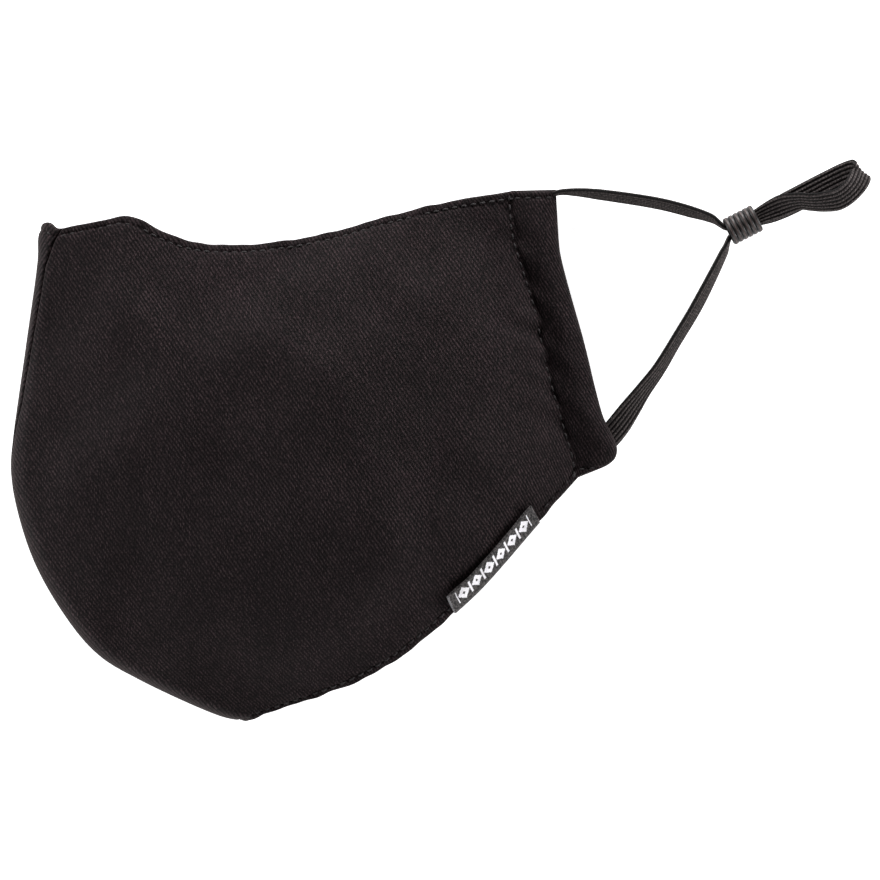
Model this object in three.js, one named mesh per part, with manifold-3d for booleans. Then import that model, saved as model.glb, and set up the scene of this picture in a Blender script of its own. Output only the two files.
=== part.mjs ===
// Cloth face mask, folded in half on its centre seam and laid on its right side.
// Millimetres. X runs from the seam to the ears, Y from the chin to the nose, Z up from the surface.
// The cloth is one curved surface that turns round the fold; the seam splits it into two panels.
import * as THREE from 'three';
import { mergeVertices } from 'three/addons/utils/BufferGeometryUtils.js';
import Module from 'manifold-3d';

const wasm = await Module();
wasm.setup();

// Overall size of the folded mask, without its ear loops
const maskWidth = 125;
const maskHeight = 109;

// Cloth: three layers sewn as one, and how the folded panels stand
const clothThickness = 1.8;
const foldRadius = 3;
const domeRise = 10.5;
const topHemGape = 2.6;
const bottomHemGape = 1.6;
const seamShift = 2.5;
const creaseDepth = 0.8;
const creaseHalfWidth = 7;

// Side hems, which hold the ends of the ear loops
const sideHemThickness = 4.6;
const hemSpacing = 0.6;

// Ear loops and the rubber sliders that shorten them
const elasticWidth = 5;
const elasticThickness = 1.2;
const squeezedThickness = 1;
const sliderLength = 6.6;
const sliderDiameter = 5.9;
const sliderBore = 4.4;
const ringCount = 6;
const ringDepth = 0.3;

// Woven label on the lower hem
const labelLength = 25.8;
const labelDepth = 4.1;
const labelThickness = 0.9;
const labelInset = 0.16;
const labelHeading = 122;
const labelFromChin = 61.8;

// Gap between sewn pieces that touch
const gap = 0.3;

// Fineness of the meshes: rows of facets, and how far they crowd towards the fold
const panelRows = { across: 24, up: 20 };
const hemRows = { round: 16, along: 18 };
const labelRows = { along: 10, up: 3 };
const bandStepsPerPoint = 2;
const sliderFacets = 16;
const foldCrowding = 1.7;
const weldDistance = 1e-4;

// Edges of the folded mask from above, as shares of its width and height
const edgeShares = {
  // fold, from the chin to the nose, with the corner of the nose end
  fold: [
    [0.386, 0.000], [0.350, 0.006], [0.309, 0.023], [0.206, 0.078], [0.146, 0.119], [0.099, 0.177],
    [0.040, 0.290], [0.008, 0.403], [0.000, 0.470], [0.003, 0.517], [0.025, 0.697], [0.045, 0.864],
    [0.046, 0.905], [0.053, 0.930],
  ],
  // top hem, from the nose to the side hem: a low bump, a dip and the rise to the ear
  top: [
    [0.053, 0.930], [0.064, 0.938], [0.078, 0.927], [0.106, 0.932], [0.147, 0.940], [0.191, 0.950],
    [0.221, 0.939], [0.254, 0.919], [0.295, 0.902], [0.353, 0.894], [0.427, 0.898], [0.526, 0.917],
    [0.625, 0.949], [0.724, 0.977], [0.830, 0.998],
  ],
  // bottom hem, from the chin to the side hem
  bottom: [
    [0.386, 0.000], [0.406, 0.005], [0.427, 0.013], [0.477, 0.032], [0.576, 0.074], [0.650, 0.124],
    [0.724, 0.195], [0.774, 0.248], [0.873, 0.377], [0.936, 0.456],
  ],
  // stitch line of the side hem, from the bottom hem up
  stitch: [
    [0.936, 0.456], [0.932, 0.498], [0.917, 0.557], [0.889, 0.672], [0.871, 0.773], [0.849, 0.858],
    [0.835, 0.915], [0.830, 0.998],
  ],
  // outer edge of the side hem, round its lower corner and up to the ear corner
  side: [
    [0.967, 0.470], [0.984, 0.479], [0.996, 0.491], [1.000, 0.507], [0.997, 0.523], [0.989, 0.543],
    [0.978, 0.568], [0.967, 0.611], [0.946, 0.710], [0.919, 0.820], [0.904, 0.892], [0.899, 1.000],
  ],
};

// How far the seam lies above the fold's outermost line, in seam shifts, from the chin to the nose
const seamCourse = [
  { up: 0, shift: 0 },
  { up: 0.6, shift: 0 },
  { up: 0.7, shift: 0.85 },
  { up: 0.8, shift: 1 },
  { up: 0.93, shift: 1.25 },
  { up: 1, shift: 2.2 },
];

// Soft crease across the upper panel, its two ends as shares of the mask's width and height
const crease = { from: [0.08, 0.735], to: [0.345, 0.470] };

// Route of an ear loop, chosen point by point, in millimetres: leaves the upper end of the side hem,
// runs through the slider, turns back at the tip and returns to the lower end of the hem.
// near and far are the heights of the left and the right loop. heading and lean, in degrees, give
// the way the band's width points. share is the part of the full width that the band has there.
const loopRoute = [
  // x, y, near, far, heading, lean, share
  [46.5, 52.4, 7.5, 2.3, 120, 84, 0.5],
  [50.3, 53.9, 7.6, 2.4, 95, 84, 0.56],
  [53.8, 54.0, 7.9, 2.6, 88, 80, 0.88],
  [59.0, 53.5, 8.1, 2.75, 86, 75, 1],
  [71.3, 51.6, 8.4, 2.8, 82, 72, 1],
  [77.5, 50.0, 8.7, 2.8, 80, 74, 1],
  [82.1, 48.5, 9.0, 2.85, 80, 84, 0.9],
  [85.1, 46.6, 9.15, 2.95, 117, 90, 0.5],
  [87.2, 47.1, 8.83, 2.62, 117, 60, 0.6],
  [89.2, 48.0, 8.59, 2.39, 117, 30, 0.68],
  [91.3, 48.7, 8.5, 2.3, 117, 0, 0.68],
  [94.4, 50.0, 8.5, 2.2, 116, 0, 0.9],
  [98.3, 51.9, 8.4, 1.9, 115, 0, 1],
  [106.0, 55.9, 8.5, 1.9, 116, 0, 1],
  [109.5, 57.6, 8.8, 2.2, 122, 0, 1],
  [111.6, 58.3, 9.3, 2.7, 130, 0, 1],
  [112.6, 58.0, 10.3, 3.6, 134, 4, 1],
  [112.3, 56.7, 11.2, 4.3, 132, 14, 1],
  [110.7, 54.4, 12.2, 4.9, 126, 28, 1],
  [108.1, 52.5, 12.8, 5.1, 119, 30, 1],
  [105.4, 52.0, 12.9, 5.1, 115, 36, 1],
  [102.7, 51.9, 12.5, 5.0, 110, 46, 1],
  [100.0, 52.1, 11.8, 4.8, 110, 48, 1],
  [97.5, 51.6, 10.9, 4.4, 112, 34, 1],
  [95.1, 50.6, 10.2, 4.0, 116, 14, 0.9],
  [91.3, 48.7, 9.8, 3.6, 117, 0, 0.68],
  [89.5, 47.4, 9.71, 3.51, 117, 30, 0.68],
  [87.7, 46.1, 9.47, 3.28, 117, 60, 0.6],
  [85.9, 44.9, 9.15, 2.95, 117, 90, 0.5],
  [84.5, 41.6, 9.0, 2.85, 145, 84, 0.9],
  [78.8, 30.3, 8.4, 2.8, 151, 75, 1],
  [74.6, 23.3, 8.2, 2.8, 151, 76, 1],
  [71.1, 17.5, 8.0, 2.7, 151, 69, 1],
  [67.8, 13.0, 7.8, 2.5, 150, 52, 1],
  [65.2, 9.3, 7.6, 2.4, 149, 34, 1],
  [62.5, 5.5, 7.5, 2.3, 148, 16, 1],
  [59.8, 2.3, 7.5, 2.3, 138, 0, 0.9],
  [57.9, 1.0, 7.5, 2.3, 125, 0, 0.8],
];

// Width and height of the mask that the route is drawn for; on another mask it stretches with them
const routeDrawnFor = [125, 109];

// Rows of the route at the slider's two ends, going out and coming back, and how far its axis rises
const sliderPasses = [7, 10, 25, 28];
const sliderHeading = 27.1;

// Colours and surface of the materials
const twill = { color: 0x2b2627, roughness: 0.92, metalness: 0 };
const elasticWeave = { color: 0x2a2526, roughness: 0.8, metalness: 0 };
const rubber = { color: 0x272425, roughness: 0.45, metalness: 0 };
const labelWeave = { color: 0x3a3838, roughness: 0.55, metalness: 0 };

const lerp = THREE.MathUtils.lerp;
const flatLevel = clothThickness / 2;
const foldLevel = flatLevel + foldRadius;
const quarterGirth = foldRadius * Math.PI / 2;
const hemLevels = { far: sideHemThickness / 2, near: sideHemThickness * 1.5 + hemSpacing };

// An edge as a smooth curve in the plane of the surface, centred on the mask's outline
function edgeCurve(shares) {
  const points = shares.map(([across, up]) =>
    new THREE.Vector3((across - 0.5) * maskWidth, (up - 0.5) * maskHeight, 0));
  const curve = new THREE.CatmullRomCurve3(points);
  curve.arcLengthDivisions = 600;
  return curve;
}

const edges = {
  fold: edgeCurve(edgeShares.fold),
  top: edgeCurve(edgeShares.top),
  bottom: edgeCurve(edgeShares.bottom),
  stitch: edgeCurve(edgeShares.stitch),
  side: edgeCurve(edgeShares.side),
};

// Value of a short table at a place between its rows, with an even blend between two rows
function tableValue(rows, key, value, at) {
  const next = rows.findIndex((row) => row[key] >= at);
  if (next <= 0) return rows[Math.max(next, 0)][value];
  const [low, high] = [rows[next - 1], rows[next]];
  return lerp(low[value], high[value], (at - low[key]) / (high[key] - low[key]));
}

// Plan of a panel: a patch spanned between fold (across 0), stitch line (1), bottom (up 0) and top hem (1)
function planPoint(across, up) {
  const fold = edges.fold.getPointAt(up);
  const stitch = edges.stitch.getPointAt(up);
  const bottom = edges.bottom.getPointAt(across);
  const top = edges.top.getPointAt(across);
  const corner = (curve, end) => curve.getPointAt(end);
  const point = fold.multiplyScalar(1 - across).addScaledVector(stitch, across);
  point.addScaledVector(bottom, 1 - up).addScaledVector(top, up);
  point.addScaledVector(corner(edges.bottom, 0), -(1 - across) * (1 - up));
  point.addScaledVector(corner(edges.bottom, 1), -across * (1 - up));
  point.addScaledVector(corner(edges.top, 0), -(1 - across) * up);
  point.addScaledVector(corner(edges.top, 1), -across * up);
  return point;
}

// Distance from fold to stitch line at one height
function rowLength(up) {
  return edges.fold.getPointAt(up).distanceTo(edges.stitch.getPointAt(up));
}

// Rounded swell that is 0 at both ends and 1 in the middle
function swell(share) {
  const flatness = 2.2;
  return 1 - Math.abs(1 - 2 * share) ** flatness;
}

// Depth of the soft crease at a place of the upper panel
function creaseAt(point) {
  const place = ([across, up]) => new THREE.Vector3((across - 0.5) * maskWidth, (up - 0.5) * maskHeight, 0);
  const line = new THREE.Line3(place(crease.from), place(crease.to));
  const nearest = line.closestPointToPoint(point, true, new THREE.Vector3());
  return creaseDepth * Math.exp(-((point.distanceTo(nearest) / creaseHalfWidth) ** 2));
}

// How far the upper panel stands above the top of the fold
function upperRise(across, up, point) {
  const sideLift = (hemLevels.near - foldLevel - foldRadius) * across;
  const gape = (topHemGape * up + bottomHemGape * (1 - up)) * swell(across);
  return sideLift + gape + domeRise * swell(across) * swell(up) - creaseAt(point) * swell(across);
}

// Middle of the cloth at a girth in mm from the fold's outermost line: above 0 on the upper
// panel, below 0 on the lower panel, which lies flat once it has turned round the fold
function clothMiddle(girth, up) {
  const distance = Math.abs(girth);
  const turn = Math.min(distance / foldRadius, Math.PI / 2);
  const inset = flatLevel + foldRadius * (1 - Math.cos(turn)) + Math.max(0, distance - quarterGirth);
  const across = Math.min(inset / rowLength(up), 1);
  const point = planPoint(across, up);
  const climb = foldRadius * Math.sin(turn);
  point.z = girth < 0 ? foldLevel - climb : foldLevel + climb + upperRise(across, up, point);
  return point;
}

// Outward direction of the cloth, from two short steps along it
function clothNormal(girth, up) {
  const girthStep = 0.15;
  const upStep = 0.002;
  const [low, high] = [Math.max(up - upStep, 0), Math.min(up + upStep, 1)];
  const along = clothMiddle(girth + girthStep, up).sub(clothMiddle(girth - girthStep, up));
  const rise = clothMiddle(girth, high).sub(clothMiddle(girth, low));
  return along.cross(rise).normalize();
}

// Girth at a share of the way across, past the turn of the fold
function girthAcross(across, up) {
  return quarterGirth + across * rowLength(up) - flatLevel - foldRadius;
}

// Girth from the fold to the panel's stitched edge, short of the stitch line by the gap
function fullGirth(up) {
  return girthAcross(1, up) - gap;
}

function seamGirth(up) {
  return seamShift * tableValue(seamCourse, 'up', 'shift', up);
}

// Maps every vertex of a geometry through a function and welds it into one closed body
function bend(geometry, place) {
  const position = geometry.getAttribute('position');
  for (let i = 0; i < position.count; i++) {
    const point = place(position.getX(i), position.getY(i), position.getZ(i));
    position.setXYZ(i, point.x, point.y, point.z);
  }
  geometry.deleteAttribute('normal');
  geometry.deleteAttribute('uv');
  return mergeVertices(geometry, weldDistance);
}

// A panel: a slab bent onto the cloth's surface between two girths, closer set near the fold
function panelGeometry(girthAt) {
  const slab = new THREE.BoxGeometry(1, 1, 1, panelRows.across, panelRows.up, 1);
  return bend(slab, (x, y, z) => {
    const up = lerp(y + 0.5, 0.5 - 0.5 * Math.cos(Math.PI * (y + 0.5)), 0.5);
    const girth = girthAt(x + 0.5, up);
    return clothMiddle(girth, up).addScaledVector(clothNormal(girth, up), z * clothThickness);
  });
}

function upperPanel() {
  return panelGeometry((along, up) =>
    lerp(seamGirth(up) + gap / 2, fullGirth(up), along ** foldCrowding));
}

function lowerPanel() {
  return panelGeometry((along, up) =>
    lerp(seamGirth(up) - gap / 2, -fullGirth(up), (1 - along) ** foldCrowding));
}

// Side hem: a flattened, slightly stuffed channel between the stitch line and the mask's edge
function sideHem(level) {
  const channel = new THREE.CylinderGeometry(1, 1, 1, hemRows.round, hemRows.along);
  const squareness = 0.7;
  const endSpan = [0.12, 0.88];
  const endRounding = 0.35;
  const blunt = (value) => Math.sign(value) * Math.abs(value) ** squareness;
  return bend(channel, (x, y, z) => {
    const inner = edges.stitch.getPointAt(y + 0.5);
    const outer = edges.side.getPointAt(y + 0.5);
    const inward = inner.clone().sub(outer).normalize();
    inner.addScaledVector(inward, -gap);
    const fullness = Math.sin(Math.PI * lerp(endSpan[0], endSpan[1], y + 0.5)) ** endRounding;
    const point = inner.lerp(outer, (1 + blunt(x)) / 2);
    point.z = level + blunt(z) * fullness * sideHemThickness / 2;
    return point;
  });
}

// Points of the route in the frame of this mask; level picks the left or the right loop's heights
function routePoints(level) {
  const [drawnWidth, drawnHeight] = routeDrawnFor;
  return loopRoute.map(([x, y, near, far]) => new THREE.Vector3(
    x * maskWidth / drawnWidth, y * maskHeight / drawnHeight, level === 'near' ? near : far));
}

// Middle of the slider: midway between the points where the route enters and leaves it
function sliderMiddle(level) {
  const ends = routePoints(level).filter((_, row) => sliderPasses.includes(row));
  return ends.reduce((sum, end) => sum.add(end), new THREE.Vector3()).divideScalar(ends.length);
}

// Flat band swept along the route, made wider and thicker by a clearance
function elasticBand(level, clearance) {
  const path = new THREE.CatmullRomCurve3(routePoints(level));
  const posture = new THREE.CatmullRomCurve3(loopRoute.map(([, , , , heading, lean, share]) =>
    new THREE.Vector3(heading, lean, share)));
  const narrowest = Math.min(...loopRoute.map((row) => row.at(-1)));
  const band = new THREE.CylinderGeometry(1, 1, 1, 8, (loopRoute.length - 1) * bandStepsPerPoint);
  return bend(band, (x, y, z) => {
    const along = y + 0.5;
    const { x: heading, y: lean, z: share } = posture.getPoint(along);
    const squeeze = (1 - share) / (1 - narrowest);
    const thickness = lerp(elasticThickness, squeezedThickness, squeeze) + 2 * clearance;
    const width = elasticWidth * share + 2 * clearance;
    const tangent = path.getTangent(along);
    const widthWay = directionOf(heading, lean);
    widthWay.addScaledVector(tangent, -widthWay.dot(tangent)).normalize();
    const faceWay = widthWay.clone().cross(tangent);
    const [acrossShare, faceShare] = bandSection(x, z);
    return path.getPoint(along)
      .addScaledVector(widthWay, acrossShare * width / 2)
      .addScaledVector(faceWay, faceShare * thickness / 2);
  });
}

// Direction from a compass heading and a lean above the level, both in degrees
function directionOf(heading, lean) {
  const [turn, rise] = [heading, lean].map(THREE.MathUtils.degToRad);
  const level = Math.cos(rise);
  return new THREE.Vector3(level * Math.cos(turn), level * Math.sin(turn), Math.sin(rise));
}

// Section of the band: the points of an octagon, with the four between its sides moved out
// to just short of the flat band's corners
function bandSection(x, z) {
  const corner = { width: 0.94, thickness: 0.9 };
  const onCorner = Math.abs(Math.abs(x) - Math.abs(z)) < 0.1;
  return onCorner ? [Math.sign(x) * corner.width, Math.sign(z) * corner.thickness] : [x, z];
}

// Ribbed rubber tube, turned about its own axis
function sliderTube() {
  const profile = [new THREE.Vector2(sliderBore / 2, -sliderLength / 2)];
  const pitch = sliderLength / ringCount;
  const crest = sliderDiameter / 2;
  const ringShape = [[0.04, ringDepth], [0.3, 0], [0.7, 0], [0.96, ringDepth]];
  for (let ring = 0; ring < ringCount; ring++) {
    const start = ring * pitch - sliderLength / 2;
    for (const [along, depth] of ringShape) {
      profile.push(new THREE.Vector2(crest - depth, start + along * pitch));
    }
  }
  profile.push(new THREE.Vector2(sliderBore / 2, sliderLength / 2));
  profile.push(profile[0].clone());
  const tube = new THREE.LatheGeometry(profile, sliderFacets);
  tube.deleteAttribute('normal');
  tube.deleteAttribute('uv');
  return mergeVertices(tube, weldDistance);
}

// Woven label: a thin folded strip that lies on the upper panel with its long edge on the hem
function edgeLabel() {
  const hemLength = edges.bottom.getLength();
  const strip = new THREE.BoxGeometry(1, 1, 1, labelRows.along, labelRows.up, 1);
  return bend(strip, (x, y, z) => {
    const hemShare = (labelFromChin + x * labelLength) / hemLength;
    const step = 0.01;
    const base = planPoint(hemShare, 0);
    const alongHem = planPoint(hemShare + step, 0).sub(base).divideScalar(step);
    const upPanel = planPoint(hemShare, step).sub(base).divideScalar(step);
    const inset = lerp(labelInset, labelDepth, y + 0.5);
    const reach = directionOf(labelHeading, 0).multiplyScalar(inset);
    const area = alongHem.x * upPanel.y - alongHem.y * upPanel.x;
    const across = hemShare + (reach.x * upPanel.y - reach.y * upPanel.x) / area;
    const up = (alongHem.x * reach.y - alongHem.y * reach.x) / area;
    const girth = girthAcross(across, up);
    const lift = clothThickness / 2 + gap + (z + 0.5) * labelThickness;
    return clothMiddle(girth, up).addScaledVector(clothNormal(girth, up), lift);
  });
}

// Solid of a closed geometry, for cutting
function solidOf(geometry) {
  const vertProperties = new Float32Array(geometry.getAttribute('position').array);
  const triVerts = new Uint32Array(geometry.index.array);
  return new wasm.Manifold(new wasm.Mesh({ numProp: 3, vertProperties, triVerts }));
}

// The part of a geometry that is left where another is cut out of it
function cut(geometry, tool) {
  const rest = solidOf(geometry).subtract(solidOf(tool)).getMesh();
  const result = new THREE.BufferGeometry();
  result.setAttribute('position', new THREE.BufferAttribute(new Float32Array(rest.vertProperties), 3));
  result.setIndex(new THREE.BufferAttribute(new Uint32Array(rest.triVerts), 1));
  return result;
}

function addPart(group, name, geometry, finish) {
  const mesh = new THREE.Mesh(geometry, new THREE.MeshStandardMaterial(finish));
  mesh.name = name;
  group.add(mesh);
  return mesh;
}

// One side's hem with pockets for the ends of its loop, the loop, and the slider on it
function addEarSide(group, side, level) {
  const pocket = elasticBand(level, gap);
  addPart(group, `${side}_side_hem`, cut(sideHem(hemLevels[level]), pocket), twill);
  addPart(group, `${side}_ear_loop`, elasticBand(level, 0), elasticWeave);
  const slider = addPart(group, `${side}_cord_slider`, sliderTube(), rubber);
  slider.position.copy(sliderMiddle(level));
  slider.rotation.z = THREE.MathUtils.degToRad(sliderHeading - 90);
}

const group = new THREE.Group();
addPart(group, 'left_panel', upperPanel(), twill);
addPart(group, 'right_panel', lowerPanel(), twill);
addEarSide(group, 'left', 'near');
addEarSide(group, 'right', 'far');
addPart(group, 'edge_label', edgeLabel(), labelWeave);

export default group;
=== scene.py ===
"""Looks of a folded cloth face mask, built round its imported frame.

Lengths in the shape classes are millimetres and become metres when a mesh is made. X runs from the
centre fold to the ears, Y from the chin to the nose, Z up from the surface that the mask lies on.
"""

from __future__ import annotations

import logging
import math
from dataclasses import dataclass, field
from enum import Enum

import bmesh
import bpy
import numpy as np
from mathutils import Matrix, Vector


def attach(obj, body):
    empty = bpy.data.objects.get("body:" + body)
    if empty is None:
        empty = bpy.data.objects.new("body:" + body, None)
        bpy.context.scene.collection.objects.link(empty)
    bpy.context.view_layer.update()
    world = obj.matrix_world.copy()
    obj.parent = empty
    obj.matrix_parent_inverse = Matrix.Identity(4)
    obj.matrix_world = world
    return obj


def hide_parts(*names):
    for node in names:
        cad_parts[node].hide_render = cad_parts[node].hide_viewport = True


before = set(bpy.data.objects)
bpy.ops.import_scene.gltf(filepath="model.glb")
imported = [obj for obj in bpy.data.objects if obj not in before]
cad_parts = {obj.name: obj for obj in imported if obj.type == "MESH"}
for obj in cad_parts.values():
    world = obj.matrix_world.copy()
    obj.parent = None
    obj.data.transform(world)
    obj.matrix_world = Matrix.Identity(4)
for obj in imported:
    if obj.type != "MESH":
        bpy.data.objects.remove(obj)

Array = np.ndarray
Socket = bpy.types.NodeSocket
Colour = tuple[float, float, float, float]
MM = 0.001
LOG = logging.getLogger("mask")


class Half(Enum):
    """Which half of the folded mask a piece belongs to."""

    LEFT = "left"
    RIGHT = "right"


# Geometry helpers


def unit(vectors: Array) -> Array:
    """Vectors divided by their lengths, along the last axis."""
    length = np.linalg.norm(vectors, axis=-1, keepdims=True)
    return vectors / np.maximum(length, 1e-12)


def lerp(start: Array | float, end: Array | float, share: Array | float) -> Array | float:
    """Straight blend from start at share 0 to end at share 1."""
    return start + (end - start) * share


def hump(value: Array, middle: float, width: float) -> Array:
    """Bell curve of height 1 about a middle, with the given half width."""
    return np.exp(-(((value - middle) / width) ** 2))


def ease(share: Array) -> Array:
    """Smooth step from 0 to 1, level at both ends."""
    held = np.clip(share, 0, 1)
    return held * held * (3 - 2 * held)


def catmull_rom(points: Array, share: Array) -> Array:
    """Point of a centripetal Catmull-Rom spline at shares of its knots.

    Each span is blended from four knots whose spacing is the square root of the distance between
    them; the first and last spans mirror their neighbour.

    Args:
        points: Knots, one a row.
        share: Places from 0 at the first knot to 1 at the last.

    Returns:
        One point a row.
    """
    knots = np.vstack([2 * points[0] - points[1], points, 2 * points[-1] - points[-2]])
    place = np.clip(share, 0, 1) * (len(points) - 1)
    span = np.clip(place.astype(int), 0, len(points) - 2)
    p0, p1, p2, p3 = (knots[span + i] for i in range(4))
    spans = ((p0, p1), (p1, p2), (p2, p3))
    steps = [np.maximum(np.linalg.norm(b - a, axis=-1) ** 0.5, 1e-6) for a, b in spans]
    t1 = steps[0]
    t2 = t1 + steps[1]
    t3 = t2 + steps[2]
    t = (t1 + (place - span) * steps[1])[:, None]
    t1, t2, t3 = t1[:, None], t2[:, None], t3[:, None]
    a1 = (t1 - t) / t1 * p0 + t / t1 * p1
    a2 = (t2 - t) / (t2 - t1) * p1 + (t - t1) / (t2 - t1) * p2
    a3 = (t3 - t) / (t3 - t2) * p2 + (t - t2) / (t3 - t2) * p3
    b1 = (t2 - t) / t2 * a1 + t / t2 * a2
    b2 = (t3 - t) / (t3 - t1) * a2 + (t - t1) / (t3 - t1) * a3
    return (t2 - t) / (t2 - t1) * b1 + (t - t1) / (t2 - t1) * b2


class Edge:
    """A smooth plane curve through a few knots, read by its share of arc length."""

    def __init__(self, shares: list[tuple[float, float]], width: float, height: float) -> None:
        """Draws the curve.

        Args:
            shares: Knots as shares of the mask's width and height.
            width: Width of the mask.
            height: Height of the mask.
        """
        knots = (np.array(shares) - 0.5) * (width, height)
        self.line = catmull_rom(knots, np.linspace(0, 1, 2400))
        run = np.linalg.norm(np.diff(self.line, axis=0), axis=1)
        self.length = float(run.sum())
        self.shares = np.concatenate([[0], np.cumsum(run)]) / self.length

    def at(self, share: Array | float) -> Array:
        """Points of the curve at shares of its length."""
        share = np.clip(share, 0, 1)
        return np.stack([np.interp(share, self.shares, self.line[:, i]) for i in range(2)], axis=-1)


def edge_spaced(length: float, fine: int, coarse: int, reach: float) -> Array:
    """Shares from 0 to 1 that crowd towards both ends.

    Near an end the distance grows with the square of the step, out to the reach, and the middle
    is evenly spaced.

    Args:
        length: Length that the shares divide.
        fine: Steps in each crowded end.
        coarse: Steps in the middle.
        reach: Length of each crowded end.

    Returns:
        The shares, rising.
    """
    steps = np.arange(fine) / fine
    near = reach * (0.35 * steps + 0.65 * steps**2) / length
    middle = np.linspace(reach / length, 1 - reach / length, coarse)
    return np.concatenate([near, middle, 1 - near[::-1]])


def smooth_noise(place: Array, wavelength: float, seed: int, waves: int = 14) -> Array:
    """Soft seeded noise of about unit size: a sum of waves in random directions.

    Args:
        place: Points, the last axis holding one to three coordinates.
        wavelength: Middle wavelength of the waves.
        seed: Seed of the directions, lengths and phases.
        waves: Number of waves in the sum.

    Returns:
        One value a point.
    """
    rng = np.random.default_rng(seed)
    directions = unit(rng.normal(size=(waves, place.shape[-1])))
    lengths = wavelength * rng.uniform(0.6, 1.7, waves)
    phases = rng.uniform(0, 2 * np.pi, waves)
    angle = np.tensordot(place, (directions / lengths[:, None]).T, axes=1) * 2 * np.pi + phases
    return np.sin(angle).sum(axis=-1) * math.sqrt(2 / waves)


def along_grid(points: Array, axis: int) -> Array:
    """Distance from the grid's first line, measured along the given axis."""
    run = np.linalg.norm(np.diff(points, axis=axis), axis=-1)
    pad = [(0, 0), (0, 0)]
    pad[axis] = (1, 0)
    return np.pad(np.cumsum(run, axis=axis), pad)


def grid_normals(points: Array) -> Array:
    """Unit normals of a grid of points, column direction crossed with row direction."""
    return unit(np.cross(np.gradient(points, axis=1), np.gradient(points, axis=0)))


@dataclass
class Patch:
    """A grid of points with a flat pattern place for each, ready to be meshed."""

    points: Array
    pattern: Array

    def quads(self, first: int) -> Array:
        """Corner numbers of the grid's faces, counted from the first point's number."""
        rows, columns = self.points.shape[:2]
        corner = first + np.arange(rows * columns).reshape(rows, columns)
        around = (corner[:-1, :-1], corner[:-1, 1:], corner[1:, 1:], corner[1:, :-1])
        return np.stack(around, axis=-1).reshape(-1, 4)


def mesh_piece(name: str, patches: list[Patch], weld: float = 2e-6) -> bpy.types.Object:
    """Makes one closed, smooth mesh piece of several grids that meet at their borders.

    Args:
        name: Name of the piece.
        patches: Grids in millimetres.
        weld: Distance in metres below which points of neighbouring grids become one.

    Returns:
        The new object, at the origin, with a UV map that holds the pattern places in millimetres.
    """
    counts = np.cumsum([0] + [p.points.shape[0] * p.points.shape[1] for p in patches])
    points = np.concatenate([p.points.reshape(-1, 3) for p in patches]) * MM
    places = np.concatenate([p.pattern.reshape(-1, 2) for p in patches])
    faces = np.concatenate([p.quads(first) for p, first in zip(patches, counts)])
    mesh = bpy.data.meshes.new(name)
    mesh.vertices.add(len(points))
    mesh.vertices.foreach_set("co", points.astype(np.float32).ravel())
    mesh.loops.add(faces.size)
    mesh.loops.foreach_set("vertex_index", faces.astype(np.int32).ravel())
    mesh.polygons.add(len(faces))
    mesh.polygons.foreach_set("loop_start", np.arange(0, faces.size, 4, dtype=np.int32))
    mesh.update(calc_edges=True)
    uv = mesh.uv_layers.new(name="pattern")
    uv.data.foreach_set("uv", places[faces.ravel()].astype(np.float32).ravel())
    work = bmesh.new()
    work.from_mesh(mesh)
    bmesh.ops.remove_doubles(work, verts=work.verts, dist=weld)
    bmesh.ops.recalc_face_normals(work, faces=work.faces)
    work.to_mesh(mesh)
    work.free()
    mesh.shade_smooth()
    piece = bpy.data.objects.new(name, mesh)
    bpy.context.scene.collection.objects.link(piece)
    return piece


# Shader helpers


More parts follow.
